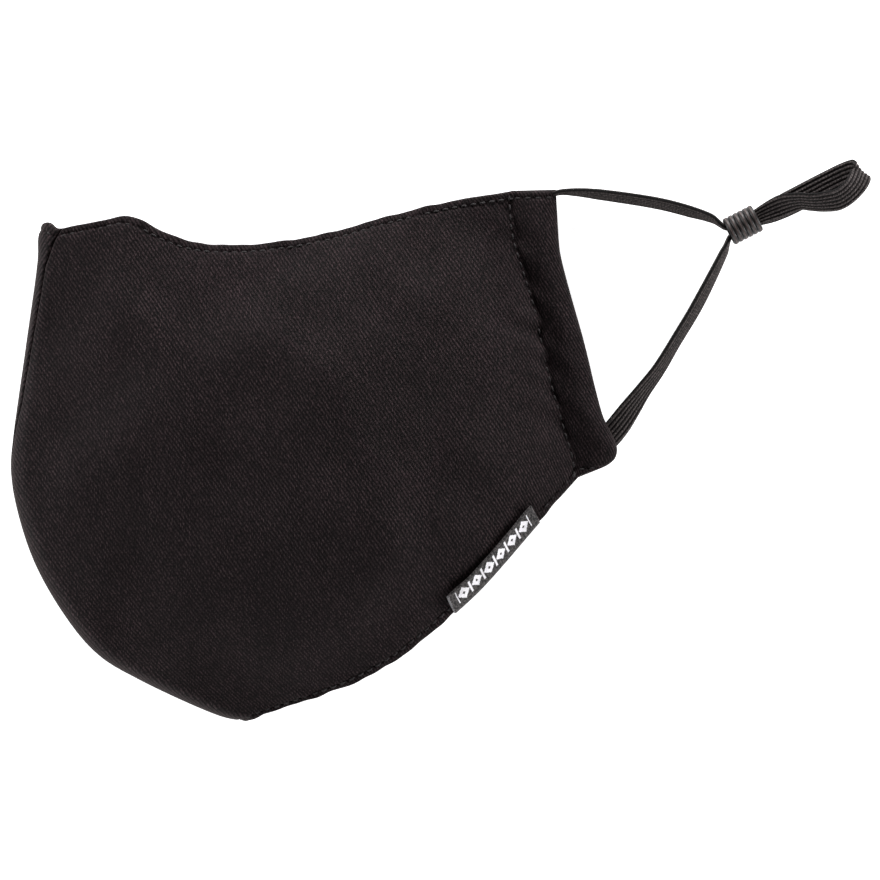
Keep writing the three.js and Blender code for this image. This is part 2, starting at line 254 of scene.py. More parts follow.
class Wiring:
    """Short calls for placing and joining the nodes of one tree."""

    def __init__(self, tree: bpy.types.NodeTree) -> None:
        """Starts wiring a tree."""
        self.tree = tree

    def node(self, kind: str, **settings: object) -> bpy.types.Node:
        """Adds a node of a kind and gives it its settings."""
        made = self.tree.nodes.new(kind)
        for name, value in settings.items():
            setattr(made, name, value)
        return made

    def feed(self, socket: Socket, value: object) -> None:
        """Joins a socket to another one, or sets its constant."""
        if isinstance(value, Socket):
            self.tree.links.new(value, socket)
        else:
            socket.default_value = value

    def math(self, operation: str, *values: object) -> Socket:
        """Result of a math node on its values."""
        made = self.node("ShaderNodeMath", operation=operation)
        for socket, value in zip(made.inputs, values):
            self.feed(socket, value)
        return made.outputs[0]

    def times(self, first: object, second: object) -> Socket:
        """Product of two values."""
        return self.math("MULTIPLY", first, second)

    def plus(self, first: object, second: object) -> Socket:
        """Sum of two values."""
        return self.math("ADD", first, second)

    def minus(self, first: object, second: object) -> Socket:
        """First value less the second."""
        return self.math("SUBTRACT", first, second)

    def over(self, first: object, second: object) -> Socket:
        """First value divided by the second."""
        return self.math("DIVIDE", first, second)

    def size(self, value: object) -> Socket:
        """A value without its sign."""
        return self.math("ABSOLUTE", value)

    def split(self, place: object) -> tuple[Socket, Socket]:
        """First two coordinates of a place."""
        made = self.node("ShaderNodeSeparateXYZ")
        self.feed(made.inputs[0], place)
        return made.outputs[0], made.outputs[1]

    def mix(self, share: object, start: object, end: object) -> Socket:
        """Blend of two colours by a share."""
        made = self.node("ShaderNodeMix", data_type="RGBA")
        self.feed(made.inputs[0], share)
        self.feed(made.inputs[6], start)
        self.feed(made.inputs[7], end)
        return made.outputs[2]

    def tint(self, colour: object, amount: object) -> Socket:
        """A colour times a grey amount."""
        made = self.node("ShaderNodeVectorMath", operation="SCALE")
        self.feed(made.inputs[0], colour if isinstance(colour, Socket) else colour[:3])
        self.feed(made.inputs["Scale"], amount)
        return made.outputs[0]

    def noise(self, place: object, scale: float, detail: float = 2.0) -> Socket:
        """Value of a noise texture at a place."""
        made = self.node("ShaderNodeTexNoise", noise_dimensions="3D")
        self.feed(made.inputs["Vector"], place)
        made.inputs["Scale"].default_value = scale
        made.inputs["Detail"].default_value = detail
        return made.outputs[0]

    def spread(self, value: object, low: float, high: float, to_low: float, to_high: float) -> Socket:
        """A value stretched from one range to another and held inside it."""
        made = self.node("ShaderNodeMapRange")
        for socket, number in zip(made.inputs, (value, low, high, to_low, to_high)):
            self.feed(socket, number)
        return made.outputs[0]

    def scaled(self, place: object, scale: tuple[float, float, float]) -> Socket:
        """A place stretched along its axes."""
        made = self.node("ShaderNodeMapping")
        self.feed(made.inputs["Vector"], place)
        made.inputs["Scale"].default_value = scale
        return made.outputs[0]


def effect_group(
    name: str, numbers: dict[str, float], outputs: tuple[str, ...]
) -> tuple[Wiring, dict[str, Socket], bpy.types.Node]:
    """Starts a shader node group with a place input and named numbers.

    Args:
        name: Name of the group.
        numbers: Inputs with their usual values.
        outputs: Names of the values that the group puts out.

    Returns:
        The wiring, the input sockets by name, and the output node.
    """
    tree = bpy.data.node_groups.new(name, "ShaderNodeTree")
    tree.interface.new_socket("Place", in_out="INPUT", socket_type="NodeSocketVector")
    for label, usual in numbers.items():
        made = tree.interface.new_socket(label, in_out="INPUT", socket_type="NodeSocketFloat")
        made.default_value = usual
    for label in outputs:
        tree.interface.new_socket(label, in_out="OUTPUT", socket_type="NodeSocketFloat")
    wiring = Wiring(tree)
    entry = wiring.node("NodeGroupInput")
    leave = wiring.node("NodeGroupOutput")
    return wiring, {socket.name: socket for socket in entry.outputs if socket.name}, leave


class Effects:
    """The node groups that several finishes share, each built once."""

    def __init__(self) -> None:
        """Builds the groups."""
        self.twill = self._twill()
        self.fibres = self._fibres()
        self.lint = self._lint()

    @staticmethod
    def _twill() -> bpy.types.NodeTree:
        """Three-over-one twill: each warp yarn floats over three picks, one pick lower at each yarn.

        The phase of a point is a quarter of its pick number plus its yarn number, so the dips
        between floats line up as slanting ribs. A float is arched along and across the yarn, and
        the weft shows low in the dips.
        """
        w, given, leave = effect_group(
            "twill_weave",
            {"Yarn spacing": 0.21, "Pick spacing": 0.3, "Wander": 0.25},
            ("Height", "Yarn tone"),
        )
        place = given["Place"]
        drift = w.times(w.minus(w.noise(place, 0.35, 2.0), 0.5), given["Wander"])
        first, second = w.split(place)
        repeat, float_share, fullness = 4.0, 0.8, 0.55
        yarn_fall, weft_level, weft_fall = 0.45, 0.3, 0.25
        yarn = w.plus(w.over(first, given["Yarn spacing"]), w.times(drift, 4.0))
        pick = w.plus(w.over(second, given["Pick spacing"]), w.times(drift, 3.0))
        number = w.math("FLOOR", yarn)
        course = w.over(w.plus(pick, number), repeat)
        held = w.math("MINIMUM", w.over(w.math("FRACT", course), float_share), 1.0)
        arch = w.math("SINE", w.times(held, math.pi))
        across = w.minus(w.times(w.math("FRACT", yarn), 2.0), 1.0)
        roundness = w.minus(1.0, w.times(w.times(across, across), yarn_fall))
        warp = w.times(w.math("POWER", w.math("MAXIMUM", arch, 0.0), fullness), roundness)
        over = w.minus(w.times(w.math("FRACT", pick), 2.0), 1.0)
        weft = w.minus(weft_level, w.times(w.times(over, over), weft_fall))
        w.feed(leave.inputs["Height"], w.math("MAXIMUM", warp, weft))
        cell = w.node("ShaderNodeCombineXYZ")
        w.feed(cell.inputs[0], number)
        w.feed(cell.inputs[1], w.math("FLOOR", course))
        speckle = w.node("ShaderNodeTexWhiteNoise", noise_dimensions="2D")
        w.feed(speckle.inputs["Vector"], cell.outputs[0])
        w.feed(leave.inputs["Yarn tone"], speckle.outputs[0])
        return w.tree

    @staticmethod
    def _fibres() -> bpy.types.NodeTree:
        """Fine stray fibres: noise drawn out along the second axis, and a soft cloud of wear."""
        w, given, leave = effect_group("stray_fibres", {"Fineness": 6.0}, ("Fuzz", "Cloud"))
        fine = w.node("ShaderNodeTexNoise", noise_dimensions="3D")
        w.feed(fine.inputs["Vector"], w.scaled(given["Place"], (2.2, 0.7, 1.0)))
        w.feed(fine.inputs["Scale"], given["Fineness"])
        fine.inputs["Detail"].default_value = 3.0
        w.feed(leave.inputs["Fuzz"], fine.outputs[0])
        w.feed(leave.inputs["Cloud"], w.noise(given["Place"], 0.07, 3.0))
        return w.tree

    @staticmethod
    def _lint() -> bpy.types.NodeTree:
        """Sparse pale specks: the small cells of a Voronoi pattern whose random tone is highest."""
        w, given, leave = effect_group("lint_specks", {"Specks a mm": 0.9, "Share": 0.04}, ("Speck",))
        cells = w.node("ShaderNodeTexVoronoi", feature="F1", voronoi_dimensions="2D")
        w.feed(cells.inputs["Vector"], w.scaled(given["Place"], (1.0, 0.6, 1.0)))
        w.feed(cells.inputs["Scale"], given["Specks a mm"])
        near = w.spread(cells.outputs["Distance"], 0.05, 0.16, 1.0, 0.0)
        tone = w.node("ShaderNodeSeparateColor")
        w.feed(tone.inputs[0], cells.outputs["Color"])
        chosen = w.math("GREATER_THAN", tone.outputs[0], w.minus(1.0, given["Share"]))
        w.feed(leave.inputs["Speck"], w.times(near, chosen))
        return w.tree


class Surface:
    """A material under way: its wiring, its shader and the pattern place of its piece."""

    def __init__(self, name: str) -> None:
        """Starts a material with a Principled shader that reads the piece's own pattern map."""
        self.material = bpy.data.materials.new(name)
        self.material.use_nodes = True
        tree = self.material.node_tree
        tree.nodes.clear()
        self.wiring = Wiring(tree)
        self.shader = self.wiring.node("ShaderNodeBsdfPrincipled")
        output = self.wiring.node("ShaderNodeOutputMaterial")
        tree.links.new(self.shader.outputs[0], output.inputs[0])
        self.place = self.wiring.node("ShaderNodeUVMap", uv_map="pattern").outputs[0]

    def effect(self, group: bpy.types.NodeTree, **numbers: float) -> dict[str, Socket]:
        """Places a shared effect and returns its outputs by name; underscores stand for spaces."""
        made = self.wiring.node("ShaderNodeGroup", node_tree=group)
        self.wiring.feed(made.inputs["Place"], self.place)
        for name, value in numbers.items():
            made.inputs[name.replace("_", " ")].default_value = value
        return {socket.name: socket for socket in made.outputs}

    def bump(self, height: Socket, depth: float, below: Socket | None = None) -> Socket:
        """Normal of a relief whose full height is depth, in metres, over another normal if given."""
        made = self.wiring.node("ShaderNodeBump")
        made.inputs["Distance"].default_value = depth
        made.inputs["Strength"].default_value = 1.0
        self.wiring.feed(made.inputs["Height"], height)
        if below is not None:
            self.wiring.feed(made.inputs["Normal"], below)
        return made.outputs[0]

    def finish(self, **sockets: object) -> bpy.types.Material:
        """Feeds the shader's sockets, underscores standing for spaces, and returns the material."""
        for name, value in sockets.items():
            self.wiring.feed(self.shader.inputs[name.replace("_", " ")], value)
        return self.material


@dataclass(frozen=True)
class TwillFinish:
    """Matt black cotton twill: slanting ribs with painted shade between them, faintly brown and linty."""

    yarn_spacing: float = 0.21
    pick_spacing: float = 0.3
    relief: float = 0.0001
    yarn_tones: tuple[float, float] = (0.45, 1.55)
    wear: tuple[float, float] = (0.85, 1.15)
    slubs: tuple[float, float] = (0.25, 1.75)
    rib: Colour = (0.0178, 0.0111, 0.0122, 1)
    # Weft in the dips between ribs, far darker than the ribs: painted shade
    gap_shade: Colour = (0.0016, 0.001, 0.0011, 1)
    # Even tone where the cloth is seen edge-on, lighter than the ribs: painted rim sheen
    slant: Colour = (0.02, 0.0145, 0.0145, 1)
    fluff: Colour = (0.05, 0.04, 0.036, 1)

    def material(self, effects: Effects) -> bpy.types.Material:
        """Builds the material from the shared effects.

        Where the cloth is seen along its surface the ribs hide the gaps, so the painted shade between
        them fades, and its colour blends to one even tone lighter than the ribs: a painted rim sheen.
        """
        s = Surface("black_twill")
        w = s.wiring
        weave = s.effect(effects.twill, Yarn_spacing=self.yarn_spacing, Pick_spacing=self.pick_spacing)
        fibres = s.effect(effects.fibres)
        lint = s.effect(effects.lint)
        # Colour darkens where the weave dips: painted shade between the ribs
        cloth = w.mix(w.math("POWER", weave["Height"], 1.5), self.gap_shade, self.rib)
        tone = w.spread(weave["Yarn tone"], 0, 1, *self.yarn_tones)
        worn = w.spread(fibres["Cloud"], 0.3, 0.7, *self.wear)
        broken = w.noise(w.scaled(s.place, (1.5, 0.9, 1.0)), 2.3, 2.0)
        shade = w.times(w.times(tone, worn), w.spread(broken, 0.38, 0.62, *self.slubs))
        # Towards grazing views the colour turns to the lighter slant tone: painted rim sheen
        turned = w.node("ShaderNodeLayerWeight")
        along = w.spread(turned.outputs["Facing"], 0.35, 0.8, 0.0, 0.85)
        cloth = w.mix(along, w.tint(cloth, shade), w.tint(self.slant, worn))
        colour = w.mix(w.times(lint["Speck"], 0.35), cloth, self.fluff)
        height = w.times(weave["Height"], w.spread(broken, 0.34, 0.66, 0.55, 1.25))
        relief = w.plus(height, w.times(fibres["Fuzz"], 0.35))
        return s.finish(
            Base_Color=colour,
            Roughness=w.spread(weave["Height"], 0, 1, 0.9, 0.62),
            Normal=s.bump(relief, self.relief),
            Specular_IOR_Level=0.085,
            Sheen_Weight=0.01,
            Sheen_Roughness=0.4,
        )


@dataclass(frozen=True)
class ElasticFinish:
    """Black braided elastic: soft ribs along the band with slanting knit stitches on each, painted shade in
    the valleys between ribs and in the stitch dips.
    """

    ribs: int = 6
    width: float = 5.0
    stitch: float = 0.62
    relief: float = 0.0001
    # Lighter rib crests and near-black valleys between them: painted shade in the valleys
    crest: Colour = (0.052, 0.042, 0.041, 1)
    valley: Colour = (0.002, 0.0015, 0.0015, 1)

    def material(self, effects: Effects) -> bpy.types.Material:
        """Builds the material; the pattern map runs across the band, then along it."""
        s = Surface("ribbed_elastic")
        w = s.wiring
        first, second = w.split(s.place)
        across = w.times(w.over(first, self.width), float(self.ribs))
        wave = w.math("COSINE", w.times(across, 2 * math.pi))
        ribbed = w.plus(w.times(wave, 0.5 if self.ribs % 2 else -0.5), 0.5)
        shifted = w.plus(across, 0.5 if self.ribs % 2 else 0.0)
        slant = w.size(w.minus(w.math("FRACT", shifted), 0.5))
        along = w.plus(w.over(second, self.stitch), w.times(slant, 1.1))
        knit = w.plus(w.times(w.math("SINE", w.times(along, 2 * math.pi)), 0.5), 0.5)
        fibres = s.effect(effects.fibres, Fineness=7.0)
        lint = s.effect(effects.lint, Specks_a_mm=2.2, Share=0.12)
        # Darker between the ribs and in the knit dips: painted shade
        body = w.times(w.math("POWER", ribbed, 1.4), w.spread(knit, 0, 1, 0.6, 1.0))
        colour = w.mix(body, self.valley, self.crest)
        colour = w.tint(colour, w.spread(w.noise(s.place, 2.6, 2.0), 0.4, 0.6, 0.4, 1.6))
        colour = w.mix(w.times(lint["Speck"], 0.4), colour, (0.08, 0.07, 0.066, 1))
        relief = w.plus(w.times(knit, 0.6), w.times(fibres["Fuzz"], 0.8))
        return s.finish(
            Base_Color=colour,
            Roughness=w.spread(ribbed, 0, 1, 0.9, 0.6),
            Normal=s.bump(relief, self.relief),
            Specular_IOR_Level=0.16,
            Sheen_Weight=0.015,
            Sheen_Roughness=0.35,
        )


@dataclass(frozen=True)
class RubberFinish:
    """Satin black silicone rubber, a little dusty and paler on the crests of its rings."""

    pitch: float = 1.1
    base: Colour = (0.0078, 0.006, 0.006, 1)
    # Paler colour laid on every ring crest
    crest_pale: Colour = (0.095, 0.068, 0.063, 1)

    def material(self, effects: Effects) -> bpy.types.Material:
        """Builds the material; the pattern map runs round the tube, then along it."""
        s = Surface("satin_rubber")
        w = s.wiring
        along = w.split(s.place)[1]
        turn = w.math("COSINE", w.times(w.over(along, self.pitch), 2 * math.pi))
        crest = w.spread(turn, -0.6, -1, 0, 1)
        fibres = s.effect(effects.fibres, Fineness=2.0)
        # Paler on every ring crest, broken up by fuzz
        crest_paling = w.times(crest, w.spread(fibres["Fuzz"], 0.35, 0.65, 0.35, 0.95))
        return s.finish(
            Base_Color=w.mix(crest_paling, self.base, self.crest_pale),
            Roughness=w.spread(fibres["Fuzz"], 0.3, 0.7, 0.4, 0.56),
            Normal=s.bump(fibres["Fuzz"], 0.000015),
            Specular_IOR_Level=0.26,
        )


@dataclass(frozen=True)
class ThreadFinish:
    """Black polyester sewing thread: two plies twisted together, slightly shiny, with painted shade in the
    groove between the plies.
    """

    twist: float = 0.34
    light: Colour = (0.03, 0.026, 0.027, 1)
    # Colour in the groove between the plies: painted shade
    ply_groove_shade: Colour = (0.006, 0.005, 0.005, 1)

    def material(self, effects: Effects) -> bpy.types.Material:
        """Builds the material; the pattern map runs round the thread, then along it."""
        s = Surface("sewing_thread")
        w = s.wiring
        first, second = w.split(s.place)
        course = w.plus(first, w.over(second, self.twist))
        ply = w.size(w.math("SINE", w.times(course, math.pi)))
        fibres = s.effect(effects.fibres, Fineness=14.0)
        # Darker between the twisted plies: painted shade
        body = w.times(ply, w.spread(fibres["Fuzz"], 0.3, 0.7, 0.7, 1.0))
        return s.finish(
            Base_Color=w.mix(body, self.ply_groove_shade, self.light),
            Roughness=w.spread(ply, 0, 1, 0.85, 0.6),
            Normal=s.bump(ply, 0.00004),
            Specular_IOR_Level=0.18,
        )


@dataclass(frozen=True)
class LabelFinish:
    """Charcoal satin ribbon with a woven row of pale lozenges, short bars between them."""

    length: float = 25.8
    depth: float = 4.1
    margin: float = 2.0
    lozenge: tuple[float, float] = (1.5, 1.35)
    ring: tuple[float, float] = (0.62, 0.38)
    bar: float = 0.24
    pick_spacing: float = 0.26
    end_spacing: float = 0.34
    repeats: int = 6
    ground: Colour = (0.052, 0.046, 0.046, 1)
    shade: Colour = (0.012, 0.0105, 0.0105, 1)
    figure: Colour = (0.86, 0.84, 0.88, 1)

    def material(self, effects: Effects) -> bpy.types.Material:
        """Builds the material; the pattern map runs along the ribbon, then across it.

        A lozenge is where the two distances from its middle, each over its half size, add up to
        nearly one. A bar is where the distance along the ribbon from midway between two is small.
        """
        s = Surface("woven_label")
        w = s.wiring
        along, across = w.split(s.place)
        step = (self.length - 2 * self.margin) / self.repeats
        cell = w.over(w.minus(along, self.margin), step)
        inside = w.times(w.math("GREATER_THAN", cell, 0.0), w.math("LESS_THAN", cell, float(self.repeats)))
        x = w.times(w.minus(w.math("FRACT", cell), 0.5), step)
        y = w.minus(across, self.depth / 2)
        ragged = w.times(w.minus(w.noise(s.place, 4.0, 1.0), 0.5), 0.35)
        wide, high = self.lozenge
        lozenge = w.plus(w.size(w.over(x, wide)), w.size(w.over(y, high)))
        ring_middle, ring_reach = self.ring
        ring = w.size(w.minus(w.plus(lozenge, ragged), ring_middle))
        drawn = w.math("LESS_THAN", ring, ring_reach)
        edge = w.minus(w.size(x), step / 2)
        thin = w.math("LESS_THAN", w.size(w.plus(edge, w.times(ragged, 0.6))), self.bar)
        bar = w.times(thin, w.math("LESS_THAN", w.size(w.plus(y, ragged)), high))
        motif = w.times(w.math("MAXIMUM", drawn, bar), inside)
        picks = w.size(w.math("SINE", w.times(along, math.pi / self.pick_spacing)))
        slope = w.plus(across, w.times(along, 0.5))
        ends = w.size(w.math("SINE", w.times(slope, math.pi / self.end_spacing)))
        weave = w.times(picks, w.spread(ends, 0, 1, 0.35, 1.0))
        fibres = s.effect(effects.fibres, Fineness=5.0)
        grain = w.spread(w.noise(s.place, 2.2, 1.0), 0.42, 0.58, 0.15, 1.85)
        cloth = w.tint(w.mix(weave, self.shade, self.ground), grain)
        frayed = w.math("LESS_THAN", w.plus(along, w.times(ragged, 2.8)), 0.3)
        pale = w.math("MAXIMUM", motif, w.times(frayed, 0.2))
        marked = w.mix(pale, cloth, w.tint(self.figure, w.spread(weave, 0, 1, 0.78, 1.0)))
        colour = w.tint(marked, w.spread(fibres["Fuzz"], 0.25, 0.75, 0.88, 1.1))
        return s.finish(
            Base_Color=colour,
            Roughness=w.spread(weave, 0, 1, 0.72, 0.46),
            Normal=s.bump(w.plus(w.plus(weave, motif), w.times(grain, 0.4)), 0.00007),
            Specular_IOR_Level=0.22,
            Sheen_Weight=0.03,
            Sheen_Roughness=0.3,
        )


@dataclass(frozen=True)
class FloorFinish:
    """Plain white studio floor, lit from below like a light table, with a very faint mottle."""

    colour: Colour = (0.9, 0.9, 0.9, 1)
    glow: float = 0.85

    def material(self) -> bpy.types.Material:
        """Builds the floor's material."""
        s = Surface("pale_floor")
        w = s.wiring
        place = w.node("ShaderNodeTexCoord").outputs["Object"]
        mottle = w.spread(w.noise(place, 6.0, 2.0), 0.3, 0.7, 0.985, 1.0)
        return s.finish(
            Base_Color=w.tint(self.colour, mottle),
            Roughness=0.9,
            Specular_IOR_Level=0.1,
            Emission_Color=(1, 1, 1, 1),
            Emission_Strength=self.glow,
        )


# The shape of the folded mask


@dataclass(frozen=True)
class MaskForm:
    """Size and curved middle surface of the folded cloth, in millimetres, as in the frame's source."""

    width: float = 125
    height: float = 109
    cloth: float = 1.8
    fold_radius: float = 3
    dome_rise: float = 10.5
    top_gape: float = 2.6
    bottom_gape: float = 1.6
    seam_shift: float = 2.5
    crease_depth: float = 0.8
    crease_half_width: float = 7
    hem_thickness: float = 4.6
    hem_spacing: float = 0.6
    fold: tuple = (
        (0.386, 0.000), (0.350, 0.006), (0.309, 0.023), (0.206, 0.078), (0.146, 0.119),
        (0.099, 0.177), (0.040, 0.290), (0.008, 0.403), (0.000, 0.470), (0.003, 0.517),
        (0.025, 0.697), (0.045, 0.864), (0.046, 0.905), (0.053, 0.930),
    )
    top: tuple = (
        (0.053, 0.930), (0.064, 0.938), (0.078, 0.927), (0.106, 0.932), (0.147, 0.940),
        (0.191, 0.950), (0.221, 0.939), (0.254, 0.919), (0.295, 0.902), (0.353, 0.894),
        (0.427, 0.898), (0.526, 0.917), (0.625, 0.949), (0.724, 0.977), (0.830, 0.998),
    )
    bottom: tuple = (
        (0.386, 0.000), (0.406, 0.005), (0.427, 0.013), (0.477, 0.032), (0.576, 0.074),
        (0.650, 0.124), (0.724, 0.195), (0.774, 0.248), (0.873, 0.377), (0.936, 0.456),
    )
    stitch: tuple = (
        (0.936, 0.456), (0.932, 0.498), (0.917, 0.557), (0.889, 0.672), (0.871, 0.773),
        (0.849, 0.858), (0.835, 0.915), (0.830, 0.998),
    )
    side: tuple = (
        (0.967, 0.470), (0.984, 0.479), (0.996, 0.491), (1.000, 0.507), (0.997, 0.523),
        (0.989, 0.543), (0.978, 0.568), (0.967, 0.611), (0.946, 0.710), (0.919, 0.820),
        (0.908, 0.870), (0.905, 0.890), (0.899, 1.000),
    )
    seam_course: tuple = ((0, 0), (0.6, 0), (0.7, 0.85), (0.8, 1), (0.93, 1.25), (1, 2.2))
    crease: tuple = ((0.08, 0.735), (0.345, 0.470))
    edges: dict[str, Edge] = field(default_factory=dict, compare=False)

    def __post_init__(self) -> None:
        """Draws the five edges of the plan."""
        for name in ("fold", "top", "bottom", "stitch", "side"):
            self.edges[name] = Edge(getattr(self, name), self.width, self.height)

    @property
    def flat_level(self) -> float:
        """Height of the lower panel's middle where it lies flat."""
        return self.cloth / 2

    @property
    def fold_level(self) -> float:
        """Height of the cloth's middle at the fold's outermost line."""
        return self.flat_level + self.fold_radius

    @property
    def quarter(self) -> float:
        """Length of cloth in a quarter turn of the fold."""
        return self.fold_radius * math.pi / 2

    def hem_level(self, half: Half) -> float:
        """Height of the middle of a half's side hem."""
        if half is Half.RIGHT:
            return self.hem_thickness / 2
        return self.hem_thickness * 1.5 + self.hem_spacing

    def plan(self, across: Array, up: Array) -> Array:
        """Place in plan: the sum of the two rulings between the four edges, less the corners."""
        fold, stitch = self.edges["fold"].at(up), self.edges["stitch"].at(up)
        bottom, top = self.edges["bottom"].at(across), self.edges["top"].at(across)
        ends = {name: (self.edges[name].at(0.0), self.edges[name].at(1.0)) for name in ("bottom", "top")}
        a, u = np.asarray(across)[..., None], np.asarray(up)[..., None]
        point = fold * (1 - a) + stitch * a + bottom * (1 - u) + top * u
        low = ends["bottom"][0] * (1 - a) + ends["bottom"][1] * a
        high = ends["top"][0] * (1 - a) + ends["top"][1] * a
        return point - low * (1 - u) - high * u

    def row_length(self, up: Array) -> Array:
        """Distance in plan from the fold to the stitch line."""
        return np.linalg.norm(self.edges["fold"].at(up) - self.edges["stitch"].at(up), axis=-1)

    @staticmethod
    def swell(share: Array) -> Array:
        """Rounded rise that is 0 at both ends and 1 in the middle."""
        return 1 - np.abs(1 - 2 * share) ** 2.2

    def crease_at(self, plan: Array) -> Array:
        """Depth of the soft crease: a bell curve of the distance from a line."""
        start, end = ((np.array(point) - 0.5) * (self.width, self.height) for point in self.crease)
        way = end - start
        share = np.clip(((plan - start) @ way) / (way @ way), 0, 1)
        distance = np.linalg.norm(plan - start - share[..., None] * way, axis=-1)
        return self.crease_depth * hump(distance, 0, self.crease_half_width)

    def middle(self, girth: Array, up: Array) -> Array:
        """Middle of the cloth at a girth from the fold's outermost line, above 0 on the upper panel.

        The cloth turns a quarter circle from the outermost line; the lower panel then lies flat and
        the upper one rises to its dome.
        """
        distance = np.abs(girth)
        turn = np.minimum(distance / self.fold_radius, math.pi / 2)
        past = np.maximum(0, distance - self.quarter)
        inset = self.flat_level + self.fold_radius * (1 - np.cos(turn)) + past
        across = np.minimum(inset / self.row_length(up), 1)
        plan = self.plan(across, up)
        climb = self.fold_radius * np.sin(turn)
        lift = (self.hem_level(Half.LEFT) - self.fold_level - self.fold_radius) * across
        gape = (self.top_gape * up + self.bottom_gape * (1 - up)) * self.swell(across)
        dome = self.dome_rise * self.swell(across) * self.swell(up)
        rise = lift + gape + dome - self.crease_at(plan) * self.swell(across)
        height = np.where(girth < 0, self.fold_level - climb, self.fold_level + climb + rise)
        return np.concatenate([plan, height[..., None]], axis=-1)

    def outward(self, girth: Array, up: Array) -> Array:
        """Outward direction of the cloth, from two short steps along it."""
        low, high = np.maximum(up - 0.002, 0), np.minimum(up + 0.002, 1)
        along = self.middle(girth + 0.15, up) - self.middle(girth - 0.15, up)
        return unit(np.cross(along, self.middle(girth, high) - self.middle(girth, low)))

    def girth_across(self, across: Array, up: Array) -> Array:
        """Girth at a share of the way from the fold to the stitch line."""
        return self.quarter + across * self.row_length(up) - self.flat_level - self.fold_radius

    def seam_girth(self, up: Array) -> Array:
        """Girth of the centre seam: on the fold's outermost line at the chin, above it at the nose."""
        course = np.array(self.seam_course, float)
        return self.seam_shift * np.interp(up, course[:, 0], course[:, 1])


def thread_stitches(
    middles: Array, ways: Array, normals: Array, length: float, radius: float
) -> Patch:
    """Short bowed threads lying on cloth, one for each given middle.

    Along a stitch the thread rises as a half sine and dives at its ends, and its round section
    shrinks to a point there.

    Args:
        middles: Middles of the stitches.
        ways: Unit directions along the seam.
        normals: Unit directions out of the cloth.
        length: Length of a stitch.
        radius: Radius of the thread.

    Returns:
        The stitches side by side as one grid, whose joins between stitches have no width.
    """
    bow_rise, sunk = 1.1 * radius, 0.8 * radius
    along = np.linspace(-1, 1, 11)
    turn = np.linspace(0, 2 * np.pi, 9)
    travel = along * length / 2
    height = bow_rise * np.cos(along * np.pi / 2) - sunk
    thick = radius * np.sqrt(np.maximum(1 - np.abs(along) ** 3, 0))
    side = unit(np.cross(normals, ways))
    spine = middles[:, None] + ways[:, None] * travel[:, None] + normals[:, None] * height[:, None]
    ring = side[:, None] * np.cos(turn)[:, None] + normals[:, None] * np.sin(turn)[:, None]
    points = spine[:, :, None] + ring[:, None] * thick[:, None, None]
    places = (turn / np.pi, travel[:, None])
    pattern = np.stack([np.broadcast_to(place, points.shape[:3]) for place in places], axis=-1)
    return Patch(points.reshape(-1, len(turn), 3), pattern.reshape(-1, len(turn), 2))


